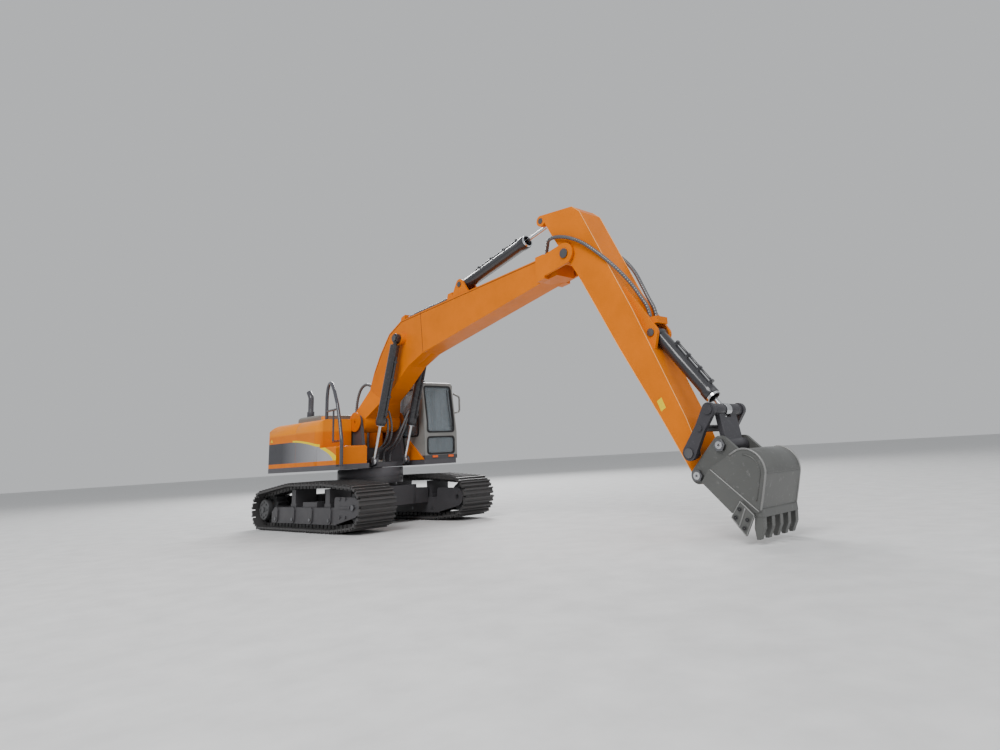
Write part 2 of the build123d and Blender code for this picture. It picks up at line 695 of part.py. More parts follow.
def arm_block(shrink):
    """The arm's closed shape, drawn in by shrink all round."""
    with BuildPart() as block:
        with BuildSketch(side_plane(ARM_HALF - shrink)) as outline:
            Polygon(*ARM_OUTLINE, align=None)
            for centre, radius in ((ARM_EYE, 6), (ARM_PIVOT, 11), (BUCKET_PIVOT, 7)):
                with Locations(centre):
                    Circle(radius)
            if shrink > 0:
                offset(amount=-shrink, kind=Kind.INTERSECTION, mode=Mode.REPLACE)
        extrude(amount=2 * (ARM_HALF - shrink))
    return block.part


def make_arm_shells():
    outer, inner = arm_block(0), arm_block(WALL)
    bosses = ((ARM_PIVOT, 7), (ROCKER_PIVOT, 6.5), (BUCKET_PIVOT, 7), (ARM_EYE, 8))
    with BuildPart() as hollow:
        add(inner)
        for centre, radius in bosses:
            rod_y(centre, -40, 40, radius, Mode.SUBTRACT)
    with BuildPart() as arm:
        add(outer)
        add(hollow.part, mode=Mode.SUBTRACT)
        rod_y(ARM_EYE, -10.2, 10.2, 8.5, Mode.SUBTRACT)
        pocket_end = along(BUCKET_CYLINDER_BASE, LINK_TOP, 24)
        hull([(*BUCKET_CYLINDER_BASE, 7.6), (*pocket_end, 7.6)], -8.2, 8.2, Mode.SUBTRACT)
        box((460, -8.2, 183.5), (480, 8.2, 189.8))
        for near, far in sides(8.2, 11.5):
            hull([(*BUCKET_CYLINDER_BASE, 7), (447, 219, 4), (474, 160, 3)], near, far)
        rod_y(ARM_EYE, -40, 40, 2.0, Mode.SUBTRACT)
        rod_y(ARM_PIVOT, -40, 40, 3.0 + FIT, Mode.SUBTRACT)
        rod_y(ROCKER_PIVOT, -40, 40, 3.0, Mode.SUBTRACT)
        rod_y(BUCKET_PIVOT, -40, 40, 3.0, Mode.SUBTRACT)
        rod_y(BUCKET_CYLINDER_BASE, -40, 40, 2.2, Mode.SUBTRACT)
    save_halves(arm.part, "arm_shell")


def hex_head(centre, y_low, y_high, across):
    """Adds a hexagon head on a pin along Y."""
    with BuildSketch(side_plane(y_high)) as head:
        with Locations(centre):
            RegularPolygon(across / 2, 6, major_radius=False)
    extrude(head.sketch, amount=y_high - y_low)


def make_arm_pins():
    with BuildPart() as arm_pins:
        rod_y(ARM_EYE, -ARM_HALF, ARM_HALF, 2.0)
        rod_y(ROCKER_PIVOT, -ROCKER_OUT, ROCKER_OUT, 3.0)
        rod_y(BUCKET_PIVOT, -20.9, 20.9, 3.0)
        rod_y(BUCKET_CYLINDER_BASE, -11.5, 11.5, 2.2)
        for low, high in sides(ROCKER_OUT + 0.1, ROCKER_OUT + 1.2):
            rod_y(ROCKER_PIVOT, low - 0.1 * (low > 0), high + 0.1 * (low < 0), 4.0)
        for low, high in sides(ARM_HALF, ARM_HALF + 0.4):
            rod_y(ARM_EYE, low, high, 3.2)
        for low, high in sides(11.5, 12.6):
            rod_y(BUCKET_CYLINDER_BASE, low, high, 3.6)
        for low, high in sides(20.9, 23.6):
            hex_head(BUCKET_PIVOT, low, high, 8.5)
    save(arm_pins, "arm_pins")


# ---------------------------------------------------------------- cylinders
def make_barrel(name, base, tip, start, length, y, outer, bore, eye_half, pin):
    """A cylinder barrel with its eye at base, pointing to tip, with a steel line beside it."""
    normal = (-(tip[1] - base[1]), tip[0] - base[0])
    scale = (outer + 2.2) / math.hypot(*normal)
    shift = (normal[0] * scale, normal[1] * scale)
    line_base = (base[0] + shift[0], base[1] + shift[1])
    line_tip = (tip[0] + shift[0], tip[1] + shift[1])
    with BuildPart() as barrel:
        rod_between(base, tip, 0, start + 2, y, 2.9)
        rod_between(base, tip, start, length, y, outer)
        rod_between(base, tip, length - 9, length - 2, y, outer + 0.7)
        rod_between(line_base, line_tip, 22, length - 10, y, 1.1)
        for share in (0.25, 0.45, 0.65, 0.85):
            x, z = along(base, tip, share * length)
            plane = Plane(origin=(x, y, z), x_dir=(shift[0], 0, shift[1]),
                          z_dir=(tip[0] - base[0], 0, tip[1] - base[1]))
            with BuildSketch(plane) as clip:
                with Locations((outer / 2 + 1.8, 0)):
                    Rectangle(outer + 3.6, 3.4)
            extrude(clip.sketch, amount=2.4)
        rod_between(base, tip, start + 8, length + 1, y, bore, Mode.SUBTRACT)
        rod_y(base, y - eye_half, y + eye_half, 5.8)
        rod_y(base, y - 20, y + 20, pin + FIT, Mode.SUBTRACT)
    save(barrel, name)


def make_rod(name, eye, far_end, length, y, radius, eye_half, eye_radius, pin):
    """A polished rod with its eye on a pin, pointing to the barrel's far end."""
    with BuildPart() as rod:
        rod_between(eye, far_end, 0, length, y, radius)
        rod_y(eye, y - eye_half, y + eye_half, eye_radius)
        rod_y(eye, y - 20, y + 20, pin + FIT, Mode.SUBTRACT)
    save(rod, name)


def make_cylinders():
    for side, word in ((1, "left"), (-1, "right")):
        y = side * BOOM_CYLINDER_Y
        make_barrel(f"boom_barrel_{word}", BOOM_CYLINDER_HIGH, BOOM_CYLINDER_LOW, 8, 111, y,
                    6.0, 4.6, 3.0, 2.5)
        make_rod(f"boom_rod_{word}", BOOM_CYLINDER_LOW, BOOM_CYLINDER_HIGH, 66, y,
                 2.0, 1.8, 4.6, 2.0)
    make_barrel("arm_barrel", ARM_CYLINDER_BASE, ARM_EYE, 5, 112, 0, 6.8, 5.7, 6.9, 2.0)
    make_rod("arm_rod", ARM_EYE, ARM_CYLINDER_BASE, 87, 0, 2.4, 9.8, 5.2, 2.0)
    make_barrel("bucket_barrel", BUCKET_CYLINDER_BASE, LINK_TOP, 5, 80, 0, 6.4, 5.4, 7.8, 2.2)
    make_rod("bucket_rod", LINK_TOP, BUCKET_CYLINDER_BASE, 56, 0, 2.2, 4.0, 5.2, 2.5)


# ---------------------------------------------------------------- bucket and linkage
def make_rocker_arms():
    middle = along(ROCKER_PIVOT, LINK_TOP, 22.5)
    with BuildPart() as rocker_arms:
        for low, high in sides(ROCKER_IN, ROCKER_OUT):
            hull([(*ROCKER_PIVOT, 6.2), (*middle, 4.6)], low, high)
            hull([(*LINK_TOP, 5.6), (*middle, 4.6)], low, high)
        for low, high in sides(ARM_HALF + 0.6, ROCKER_IN):
            rod_y(ROCKER_PIVOT, low, high, 5.0)
        rod_y(middle, -ROCKER_IN, ROCKER_IN, 2.8)
        rod_y(LINK_TOP, -ROCKER_OUT, ROCKER_OUT, 2.5)
        for low, high in sides(ROCKER_OUT, ROCKER_OUT + 1.2):
            rod_y(LINK_TOP, low, high, 4.0)
            rod_y(middle, low, high, 2.4)
        rod_y(ROCKER_PIVOT, -40, 40, 3.0 + FIT, Mode.SUBTRACT)
    save(rocker_arms, "rocker_arms")


def make_h_link():
    with BuildPart() as h_link:
        hull([(*along(LINK_TOP, LINK_FOOT, 2), 2.2), (*along(LINK_FOOT, LINK_TOP, 2), 2.2)],
             -14, 14)
        for low, high in sides(4.4, 21.8):
            rod_y(LINK_TOP, low, high, 4.8)
        rod_y(LINK_TOP, -4.4, 4.4, 7.0, Mode.SUBTRACT)
        rod_y(LINK_FOOT, -16.5, 16.5, 5.4)
        rod_y(LINK_TOP, -30, 30, 2.5 + FIT, Mode.SUBTRACT)
        rod_y(LINK_FOOT, -30, 30, 3.3, Mode.SUBTRACT)
    save(h_link, "h_link")


BUCKET_OUTLINE = [(569.5, 22.5), (577.6, 50), (576.4, 70.6), (556, 69.2), (529.7, 55.5)]


def make_bucket():
    inside = [(563.5, 20.6), (567.3, 25.2), (575.7, 50.3), (574.5, 68.8), (556.3, 67.3),
              (533.5, 54.9), (529.7, 50.3)]
    side_strip = [(521.8, 45.2), (529.7, 55.5), (569.5, 22.5), (545.5, 22.4)]
    hinge_bar = [(521.8, 45.2), (530, 55.8), (541, 61.5), (537, 54.5), (527.5, 44.5)]
    edge = [(562.5, 26.5), (568.5, 28), (571.2, 25), (571.4, 19.6), (564, 20)]
    with BuildPart() as bucket_shell:
        with BuildSketch(side_plane(BUCKET_HALF)) as outline:
            Polygon(*BUCKET_OUTLINE, align=None)
            fillet(outline.vertices().sort_by(Axis.X)[-2:].sort_by(Axis.Y)[-1], 17)
        extrude(amount=2 * BUCKET_HALF)
        with BuildSketch(side_plane(BUCKET_HALF - 1.8)) as hollow:
            Polygon(*inside, align=None)
            fillet(hollow.vertices().sort_by(Axis.X)[-2:].sort_by(Axis.Y)[-1], 15.4)
        extrude(amount=2 * (BUCKET_HALF - 1.8), mode=Mode.SUBTRACT)
        for low, high in sides(BUCKET_HALF - 2.4, BUCKET_HALF + 0.3):
            slab(side_strip, low, high)
        slab(hinge_bar, 1 - BUCKET_HALF, BUCKET_HALF - 1)
        slab(edge, -BUCKET_HALF, BUCKET_HALF)
        for low, high in sides(17.2, 20.7):
            hull([(*BUCKET_PIVOT, 6.8), (*LINK_FOOT, 7.4), (552, 65, 3), (527, 50, 3)], low, high)
        rod_y(BUCKET_PIVOT, -40, 40, 3.0 + FIT, Mode.SUBTRACT)
        rod_y(LINK_FOOT, -40, 40, 2.6, Mode.SUBTRACT)
    save(bucket_shell, "bucket_shell")
    with BuildPart() as linkage_bolt:
        rod_y(LINK_FOOT, -20.7, 20.7, 2.6)
        for low, high in sides(20.7, 23.4):
            hex_head(LINK_FOOT, low, high, 9.0)
    save(linkage_bolt, "linkage_bolt")
    tooth = [(571.2, 19.5), (564.2, 19.9), (562.8, 12), (563.6, 3.6), (566.4, 3.6), (570.6, 12)]
    with BuildPart() as bucket_teeth:
        for step in range(-2, 3):
            y = step * (BUCKET_HALF - 2.6) / 2
            slab(tooth, y - 2.5, y + 2.5)
    save(bucket_teeth, "bucket_teeth")
    cutter = [(555, 31), (546.2, 19.5), (556.9, 6.2), (565.2, 21)]
    with BuildPart() as side_cutters:
        for low, high in sides(BUCKET_HALF + 0.3, BUCKET_HALF + 2.5):
            slab(cutter, low, high)
        for low, high in sides(BUCKET_HALF + 2.5, BUCKET_HALF + 3.5):
            for centre in ((554, 25.5), (550, 19.5), (559.5, 18), (556.3, 12)):
                rod_y(centre, low, high, 1.2)
    save(side_cutters, "side_cutters")


# ---------------------------------------------------------------- hoses
HOSE_RADIUS = 2.0
THIN_HOSE_RADIUS = 1.5
# The right-hand one of each pair; the left-hand one is its mirror image.
REAR_HOSE = [(-21, -9, 76.3), (-21, -9, 105), (-21.4, -9.5, 134), (-20.2, -9.2, 157),
             (-13.5, -8.6, 173.5), (-2.2, -7.8, 180), (9.6, -7, 177.4), (19.1, -6.3, 172.4)]
TOP_HOSE = [(92.4, -5, 254.2), (116, -6.2, 257.4), (142, -5.6, 260.4), (162, -5.2, 261.6),
            (178.8, -5, 264.6)]
LOWER_HOSE = [(61.4, -15.4, 130), (60, -12.4, 119), (54.5, -10.8, 107), (46.5, -10.2, 98.5),
              (37, -10.6, 93), (28, -11, 87), (28, -11, 76.3)]
INNER_HOSE = [(64.6, -15.4, 139), (63.5, -10.5, 128), (58.5, -6, 113), (50.5, -4.4, 101),
              (40, -4, 94.5), (29.5, -4.3, 91.5), (23.5, -4.6, 85.8), (23.5, -4.6, 76.3)]
ARM_HOSE = [(347, -8, 277.6), (353, -11.5, 287), (362, -19.4, 291), (382, -21, 288.5),
            (405, -21.5, 278), (424, -21, 263), (441.5, -16.5, 245), (454.5, -9, 226),
            (464, -6, 208.5), (469.5, -5.2, 199.5), (470.5, -5, 190.1)]


def hose_radii(points):
    """One bend radius for each inner point, as large as its two runs allow."""
    radii = []
    for before, here, after in zip(points, points[1:], points[2:]):
        first, second = Vector(here) - Vector(before), Vector(after) - Vector(here)
        turn = math.radians(first.get_angle(second))
        radii.append(0.45 * min(first.length, second.length) / math.tan(turn / 2))
    return radii


def hose_pair(points, radius):
    """Adds a hose through the points, and its mirror image across the middle plane."""
    for side in (1, -1):
        route = [Vector(x, side * y, z) for x, y, z in points]
        with BuildLine() as centre:
            FilletPolyline(*route, radius=hose_radii(points))
        path = centre.wire()
        with BuildSketch(Plane(origin=path @ 0, z_dir=path % 0)) as section:
            Circle(radius)
        sweep(section.sketch, path=path)
    radii = [round(bend, 1) for bend in hose_radii(points)]
    volume = math.pi * radius**2 * path.length
    print(f"hose {path.length:.1f} long, section x length {volume:.0f}, bend radii {radii}")


def make_hoses():
    with BuildPart() as house_hoses:
        hose_pair(REAR_HOSE, HOSE_RADIUS)
        hose_pair(LOWER_HOSE, THIN_HOSE_RADIUS)
        hose_pair(INNER_HOSE, THIN_HOSE_RADIUS)
    save(house_hoses, "house_hoses")
    with BuildPart() as boom_hoses:
        hose_pair(TOP_HOSE, HOSE_RADIUS)
        hose_pair(ARM_HOSE, HOSE_RADIUS)
    save(boom_hoses, "boom_hoses")


make_chassis_frame()
make_track_frame(1, "track_frame_left")
make_track_frame(-1, "track_frame_right")
make_track_links(1, "track_links_left")
make_track_links(-1, "track_links_right")
make_track_axles()
make_travel_motors()
for side, word in ((1, "left"), (-1, "right")):
    make_sprocket(side, f"sprocket_{word}")
    make_idler(side, f"idler_{word}")
    for number, roller_x in enumerate(ROLLER_XS, 1):
        make_roller(side, roller_x, f"roller_{word}_{number}")
make_slew_ring()
make_slew_pinion()
make_slew_retainer()
make_house_deck()
make_hood()
make_tank_box()
make_exhaust()
make_handrail()
make_cab()
make_electrics()
make_house_pins()
make_power_switch()
make_boom_shells()
make_boom_pins()
make_arm_shells()
make_arm_pins()
make_cylinders()
make_rocker_arms()
make_h_link()
make_bucket()
make_hoses()
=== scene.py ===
import math
import bmesh
import bpy
from mathutils import Matrix, Vector


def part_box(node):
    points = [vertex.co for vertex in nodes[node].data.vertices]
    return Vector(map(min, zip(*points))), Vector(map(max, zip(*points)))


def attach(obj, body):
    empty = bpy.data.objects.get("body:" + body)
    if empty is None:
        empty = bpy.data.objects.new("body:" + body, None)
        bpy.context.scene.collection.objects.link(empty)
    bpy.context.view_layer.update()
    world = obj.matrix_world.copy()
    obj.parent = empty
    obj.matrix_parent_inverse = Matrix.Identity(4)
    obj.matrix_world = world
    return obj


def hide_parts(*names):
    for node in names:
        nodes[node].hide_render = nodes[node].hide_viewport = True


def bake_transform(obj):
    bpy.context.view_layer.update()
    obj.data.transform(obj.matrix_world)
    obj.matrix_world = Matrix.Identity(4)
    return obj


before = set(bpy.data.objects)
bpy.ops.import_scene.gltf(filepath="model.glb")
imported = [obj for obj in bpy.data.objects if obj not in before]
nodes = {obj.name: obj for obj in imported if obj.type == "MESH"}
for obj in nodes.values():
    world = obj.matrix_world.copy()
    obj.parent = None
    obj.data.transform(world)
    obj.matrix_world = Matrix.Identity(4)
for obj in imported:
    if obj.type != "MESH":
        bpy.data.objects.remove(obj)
scene = bpy.context.scene
MM = 0.001


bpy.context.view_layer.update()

# ------------------------------------------------------------ camera
CAMERA = Vector((829.9, -524.9, 74.0)) * MM
AZIMUTH, ELEVATION, ROLL = math.radians(42.41), math.radians(14.13), math.radians(-3.41)


def make_camera():
    """The camera low in front of the machine's right side, looking a little up."""
    ahead = Vector((-math.sin(AZIMUTH) * math.cos(ELEVATION),
                    math.cos(AZIMUTH) * math.cos(ELEVATION), math.sin(ELEVATION)))
    level = Vector((math.cos(AZIMUTH), math.sin(AZIMUTH), 0))
    above = level.cross(ahead)
    right = math.cos(ROLL) * level + math.sin(ROLL) * above
    up = math.cos(ROLL) * above - math.sin(ROLL) * level
    data = bpy.data.cameras.new("camera")
    data.lens = 24.93
    data.sensor_width = 36
    data.shift_x = -0.055
    data.shift_y = -0.096
    data.clip_start = 0.01
    camera = bpy.data.objects.new("camera", data)
    turn = Matrix((right, up, -ahead)).transposed().to_4x4()
    camera.matrix_world = Matrix.Translation(CAMERA) @ turn
    scene.collection.objects.link(camera)
    scene.camera = camera


# ------------------------------------------------------------ materials
class Shader:
    """A material's node tree, with short calls for the nodes it uses."""

    def __init__(self, name):
        self.material = bpy.data.materials.new(name)
        self.material.use_nodes = True
        self.tree = self.material.node_tree
        self.surface = self.tree.nodes["Principled BSDF"]

    def add(self, kind, **values):
        node = self.tree.nodes.new(kind)
        for name, value in values.items():
            setattr(node, name, value)
        return node

    def link(self, source, target):
        self.tree.links.new(source, target)

    def place(self):
        """Position on the object, in metres."""
        return self.add("ShaderNodeTexCoord").outputs["Object"]

    def noise(self, scale, detail=4.0, roughness=0.55):
        node = self.add("ShaderNodeTexNoise")
        node.inputs["Scale"].default_value = scale
        node.inputs["Detail"].default_value = detail
        node.inputs["Roughness"].default_value = roughness
        self.link(self.place(), node.inputs["Vector"])
        return node.outputs["Fac"]

    def remap(self, value, low, high, from_low=0.3, from_high=0.7):
        node = self.add("ShaderNodeMapRange")
        node.inputs["From Min"].default_value = from_low
        node.inputs["From Max"].default_value = from_high
        node.inputs["To Min"].default_value = low
        node.inputs["To Max"].default_value = high
        self.link(value, node.inputs["Value"])
        return node.outputs["Result"]

    def mix(self, factor, first, second):
        """Mixes two colours, each a colour or a node's output."""
        node = self.add("ShaderNodeMix", data_type="RGBA")
        self.link(factor, node.inputs["Factor"])
        for socket, colour in ((node.inputs[6], first), (node.inputs[7], second)):
            if isinstance(colour, tuple):
                socket.default_value = (*colour, 1)
            else:
                self.link(colour, socket)
        return node.outputs[2]

    def math(self, operation, first, second=0.0):
        node = self.add("ShaderNodeMath", operation=operation)
        for socket, value in zip(node.inputs, (first, second)):
            if isinstance(value, (int, float)):
                socket.default_value = value
            else:
                self.link(value, socket)
        return node.outputs[0]

    def bump(self, height, strength, distance):
        node = self.add("ShaderNodeBump")
        node.inputs["Strength"].default_value = strength
        node.inputs["Distance"].default_value = distance
        self.link(height, node.inputs["Height"])
        self.link(node.outputs["Normal"], self.surface.inputs["Normal"])

    def set(self, **values):
        for name, value in values.items():
            self.surface.inputs[name.replace("_", " ")].default_value = value


def plastic(name, colour, roughness=0.42, grain=900.0, depth=0.00006, coat=0.0, shine=0.35):
    """Moulded plastic: faint mottling, an even fine grain and uneven gloss."""
    shader = Shader(name)
    dark = tuple(0.86 * part for part in colour)
    shade = shader.remap(shader.noise(38.0), 0.0, 1.0)
    shader.link(shader.mix(shade, dark, colour), shader.surface.inputs["Base Color"])
    gloss = shader.remap(shader.noise(160.0), roughness - 0.06, roughness + 0.07)
    shader.link(gloss, shader.surface.inputs["Roughness"])
    shader.bump(shader.noise(grain, 2.0), 0.35, depth)
    shader.set(Coat_Weight=coat, Coat_Roughness=0.12, Specular_IOR_Level=shine)
    return shader.material


def metal(name, colour, roughness=0.25, streak=700.0):
    """Polished or turned metal with fine streaks."""
    shader = Shader(name)
    shader.set(Metallic=1.0)
    shade = shader.remap(shader.noise(60.0), 0.0, 1.0)
    dull = tuple(0.75 * part for part in colour)
    shader.link(shader.mix(shade, dull, colour), shader.surface.inputs["Base Color"])
    gloss = shader.remap(shader.noise(streak), roughness - 0.07, roughness + 0.1)
    shader.link(gloss, shader.surface.inputs["Roughness"])
    shader.bump(shader.noise(streak, 3.0), 0.15, 0.00003)
    return shader.material


def painted_metal(name, colour, worn):
    """Painted cast metal, rubbed lighter in patches."""
    shader = Shader(name)
    wear = shader.remap(shader.noise(230.0, 8.0, 0.7), 0.0, 0.8, 0.58, 0.75)
    tone = shader.remap(shader.noise(20.0), 0.0, 1.0)
    base = shader.mix(tone, tuple(0.8 * part for part in colour), colour)
    shader.link(shader.mix(wear, base, worn), shader.surface.inputs["Base Color"])
    shader.link(shader.remap(wear, 0.42, 0.3, 0.0, 1.0), shader.surface.inputs["Roughness"])
    shader.bump(shader.noise(420.0, 5.0), 0.35, 0.00012)
    shader.set(Metallic=0.35)
    return shader.material


def glass(name, colour):
    """Tinted clear plastic with a faint haze."""
    shader = Shader(name)
    shade = shader.remap(shader.noise(30.0), 0.0, 1.0)
    dark = tuple(0.8 * part for part in colour)
    shader.link(shader.mix(shade, dark, colour), shader.surface.inputs["Base Color"])
    shader.link(shader.remap(shader.noise(120.0), 0.04, 0.1), shader.surface.inputs["Roughness"])
    shader.set(Transmission_Weight=0.55, IOR=1.45, Alpha=0.72, Coat_Weight=0.6)
    return shader.material


ORANGE = (0.7, 0.17, 0.0005)
BRIGHT = (0.78, 0.235, 0.003)
YELLOW = (0.82, 0.62, 0.001)
GRAPHITE = (0.055, 0.055, 0.062)
SILVER = (0.36, 0.36, 0.38)


def hood_paint():
    """Orange hood with a printed grey sweep, its yellow edge, and a lighter upper band."""
    shader = Shader("hood_paint")
    axes = shader.add("ShaderNodeSeparateXYZ")
    shader.link(shader.place(), axes.inputs["Vector"])
    x, z = axes.outputs["X"], axes.outputs["Z"]
    normal = shader.add("ShaderNodeSeparateXYZ")
    shader.link(shader.add("ShaderNodeNewGeometry").outputs["Normal"], normal.inputs["Vector"])
    # The sweep's upper edge is level to sweep_start, then falls in a rounded curve.
    sweep_start, sweep_low, sweep_rise = -0.062, 0.0815, 0.0265
    roundness = 1.6

    def inside(reach, rise):
        across = shader.math("MAXIMUM", shader.math("SUBTRACT", x, sweep_start), 0.0)
        across = shader.math("POWER", shader.math("DIVIDE", across, reach), roundness)
        over = shader.math("MAXIMUM", shader.math("SUBTRACT", z, sweep_low), 0.0)
        over = shader.math("POWER", shader.math("DIVIDE", over, rise), roundness)
        return shader.math("LESS_THAN", shader.math("ADD", across, over), 1.0)

    above = shader.math("GREATER_THAN", z, sweep_low)
    flank = shader.math("GREATER_THAN", shader.math("ABSOLUTE", normal.outputs["Y"]), 0.5)
    rear = shader.math("LESS_THAN", normal.outputs["X"], -0.35)
    upright = shader.math("MAXIMUM", flank, rear)
    printed = shader.math("MULTIPLY", above, upright)
    grey_area = shader.math("MULTIPLY", inside(0.108, sweep_rise), printed)
    yellow_area = shader.math("MULTIPLY", inside(0.12, sweep_rise + 0.0022), printed)
    ahead = shader.math("GREATER_THAN", x, sweep_start + 0.006)
    yellow_area = shader.math("MULTIPLY", yellow_area, ahead)
    mottle = shader.remap(shader.noise(38.0), 0.0, 1.0)
    orange = shader.mix(mottle, tuple(0.88 * part for part in ORANGE), ORANGE)
    orange = shader.mix(shader.remap(z, 0.0, 1.0, 0.1165, 0.119), orange, BRIGHT)
    grey = shader.mix(shader.remap(x, 0.0, 1.0, -0.085, 0.03), GRAPHITE, SILVER)
    colour = shader.mix(yellow_area, orange, YELLOW)
    colour = shader.mix(grey_area, colour, grey)
    shader.link(colour, shader.surface.inputs["Base Color"])
    shader.link(shader.remap(shader.noise(160.0), 0.3, 0.42), shader.surface.inputs["Roughness"])
    shader.bump(shader.noise(900.0, 2.0), 0.3, 0.00005)
    shader.set(Coat_Weight=0.04, Coat_Roughness=0.12, Specular_IOR_Level=0.14)
    return shader.material


def cab_paint():
    """Grey-beige cab with a dark band round its foot."""
    shader = Shader("cab_paint")
    axes = shader.add("ShaderNodeSeparateXYZ")
    shader.link(shader.place(), axes.inputs["Vector"])
    band = shader.math("LESS_THAN", axes.outputs["Z"], 0.0815)
    mottle = shader.remap(shader.noise(38.0), 0.0, 1.0)
    beige = shader.mix(mottle, (0.19, 0.19, 0.182), (0.225, 0.225, 0.213))
    shader.link(shader.mix(band, beige, (0.05, 0.05, 0.055)), shader.surface.inputs["Base Color"])
    shader.link(shader.remap(shader.noise(160.0), 0.34, 0.46), shader.surface.inputs["Roughness"])
    shader.bump(shader.noise(900.0, 2.0), 0.3, 0.00005)
    shader.set(Coat_Weight=0.2, Coat_Roughness=0.15)
    return shader.material


def make_materials():
    return {
        "orange": plastic("orange_paint", ORANGE, 0.36, coat=0.02, shine=0.1),
        "hood": hood_paint(),
        "cab": cab_paint(),
        "track": plastic("track_plastic", (0.055, 0.053, 0.053), 0.45, 700.0, 0.00012),
        "frame": plastic("frame_plastic", (0.058, 0.056, 0.06), 0.42, 800.0),
        "wheel": plastic("wheel_plastic", (0.06, 0.06, 0.062), 0.38, 800.0),
        "gear": plastic("gear_plastic", (0.62, 0.6, 0.54), 0.4),
        "deck": plastic("deck_plastic", (0.085, 0.082, 0.09), 0.4),
        "cover": plastic("cover_plastic", (0.2, 0.19, 0.17), 0.45),
        "black": plastic("black_plastic", (0.022, 0.022, 0.024), 0.34),
        "rail": plastic("rail_plastic", (0.06, 0.06, 0.07), 0.24, coat=0.4),
        "barrel": plastic("barrel_paint", (0.03, 0.03, 0.034), 0.26, coat=0.5),
        "link": painted_metal("link_paint", (0.06, 0.058, 0.066), (0.16, 0.16, 0.17)),
        "bucket": painted_metal("bucket_paint", (0.115, 0.117, 0.112), (0.22, 0.22, 0.215)),
        "steel": metal("bright_steel", (0.72, 0.73, 0.75), 0.2),
        "pin": metal("pin_steel", (0.2, 0.2, 0.21), 0.34),
        "rubber": plastic("hose_rubber", (0.085, 0.085, 0.09), 0.25, 1200.0, shine=0.8),
        "glass": glass("cab_glass", (0.34, 0.4, 0.44)),
        "gasket": plastic("gasket_rubber", (0.015, 0.015, 0.016), 0.5),
        # painted highlight: the light orange of the lines along the arm's edges
        "orange_highlight": plastic("painted_orange_highlight", (0.9, 0.42, 0.12), 0.3),
        "seam": plastic("seam_orange", (0.22, 0.05, 0.001), 0.45),
        "lamp": plastic("lamp_orange", (0.9, 0.14, 0.01), 0.2, coat=0.6),
        "yellow": plastic("yellow_print", YELLOW, 0.35),
        # painted highlight: the light grey of the beads along the bucket's edges stands in for the
        # highlights on them; its lighter patches are rubbed paint
        "edge": painted_metal("bucket_edge_highlight", (0.24, 0.24, 0.235), (0.4, 0.4, 0.39)),
        "board": plastic("board_green", (0.01, 0.12, 0.04), 0.4),
    }


NODE_MATERIALS = {
    "track": ("track_links_left", "track_links_right"),
    "frame": ("track_frame_left", "track_frame_right", "chassis_frame", "travel_motors"),
    "gear": ("slew_pinion", "slew_retainer"),
    "steel": ("boom_rod_left", "boom_rod_right", "arm_rod", "bucket_rod"),
    "pin": ("track_axles", "house_pins", "boom_pins", "arm_pins", "linkage_bolt"),
    "deck": ("house_deck", "slew_ring_gear"),
    "hood": ("counterweight", "side_cover_right", "hood_cover", "tank_box"),
    "orange": ("boom_shell_left", "boom_shell_right", "arm_shell_left", "arm_shell_right"),
    "cover": ("engine_cover",),
    "rail": ("exhaust_pipe", "handrail"),
    "black": ("battery_pack", "slew_motor", "cab_seat", "power_switch"),
    "board": ("circuit_board",),
    "cab": ("cab_shell",),
    "glass": ("cab_glass",),
    "barrel": ("boom_barrel_left", "boom_barrel_right", "arm_barrel", "bucket_barrel"),
    "link": ("rocker_arms", "h_link"),
    "bucket": ("bucket_shell", "bucket_teeth", "side_cutters"),
}


def dress_nodes(materials):
    """Gives each CAD node its material, and softens its sharp edges."""
    named = {node: key for key, members in NODE_MATERIALS.items() for node in members}
    for name, node in nodes.items():
        key = named.get(name, "wheel")
        node.data.materials.clear()
        node.data.materials.append(materials[key])
        if name.startswith("track_links"):
            continue
        weld = node.modifiers.new("weld", "WELD")
        weld.merge_threshold = 0.000002
        bevel = node.modifiers.new("edges", "BEVEL")
        bevel.width = 0.0003
        bevel.segments = 2
        bevel.limit_method = "ANGLE"
        bevel.angle_limit = math.radians(50)
        bevel.harden_normals = False


# ------------------------------------------------------------ hoses
HOSE, THIN_HOSE = 4.0, 3.0      # diameters
RIB_STEP, RIB_DEPTH = 0.0009, 0.0005    # in metres
REAR_HOSE = [(-21, -9, 76.3), (-21, -9, 105), (-21.4, -9.5, 134), (-20.2, -9.2, 157),
             (-13.5, -8.6, 173.5), (-2.2, -7.8, 180), (9.6, -7, 177.4), (19.1, -6.3, 172.4)]
TOP_HOSE = [(92.4, -5, 254.2), (116, -6.2, 257.4), (142, -5.6, 260.4), (162, -5.2, 261.6),
            (178.8, -5, 264.6)]
LOWER_HOSE = [(61.4, -15.4, 130), (60, -12.4, 119), (54.5, -10.8, 107), (46.5, -10.2, 98.5),
              (37, -10.6, 93), (28, -11, 87), (28, -11, 76.3)]
INNER_HOSE = [(64.6, -15.4, 139), (63.5, -10.5, 128), (58.5, -6, 113), (50.5, -4.4, 101),
              (40, -4, 94.5), (29.5, -4.3, 91.5), (23.5, -4.6, 85.8), (23.5, -4.6, 76.3)]
ARM_HOSE = [(347, -8, 277.6), (353, -11.5, 287), (362, -19.4, 291), (382, -21, 288.5),
            (405, -21.5, 278), (424, -21, 263), (441.5, -16.5, 245), (454.5, -9, 226),
            (464, -6, 208.5), (469.5, -5.2, 199.5), (470.5, -5, 190.1)]


